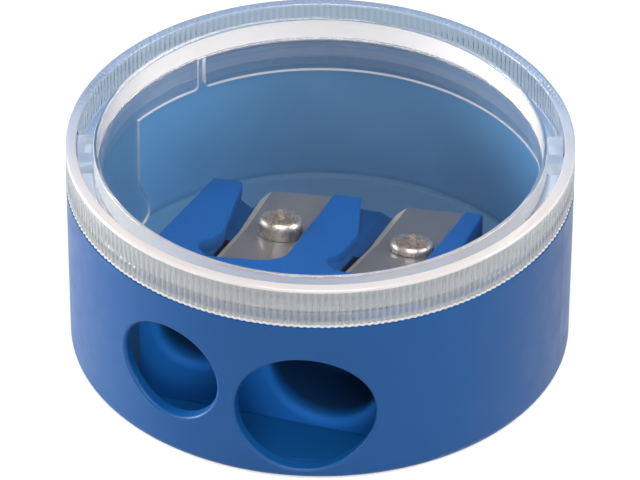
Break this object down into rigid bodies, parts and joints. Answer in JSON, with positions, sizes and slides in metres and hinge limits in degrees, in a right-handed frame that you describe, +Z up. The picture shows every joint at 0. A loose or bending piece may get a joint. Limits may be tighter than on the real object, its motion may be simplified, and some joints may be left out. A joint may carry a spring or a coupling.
{
  "type": "pencil sharpener",
  "caption": "Round container pencil sharpener: blue cup with a small and a large pencil hole, a wedge block with screwed blades, and a clear ribbed lid that turns to shutter the holes.",
  "frame": {"origin": "middle of the underside, on the surface that the cup stands on", "axes": "+Z up along the cup's axis, +Y the way a pencil goes in, so both holes face -Y, +X to the large hole's side"},
  "size_m": [0.055, 0.055, 0.025],
  "materials": {
    "cup_plastic": "moulded satin gloss",
    "block_plastic": "moulded gloss",
    "blade_steel": "ground and polished",
    "screw_nickel": "bright nickel plate",
    "lid_clear": "clear polished"
  },
  "bodies": {
    "base": {"base_cup": "cup_plastic", "sharpener_block": "block_plastic", "blade_small": "blade_steel", "blade_large": "blade_steel", "blade_screw_small": "screw_nickel", "blade_screw_large": "screw_nickel"},
    "lid": {"lid": "lid_clear"}
  },
  "joints": [
    {"name": "lid_turn", "type": "hinge", "parent": "base", "child": "lid", "pos_m": [0, 0, 0.0205], "axis": [0, 0, 1], "range_deg": [0, 70]}
  ]
}
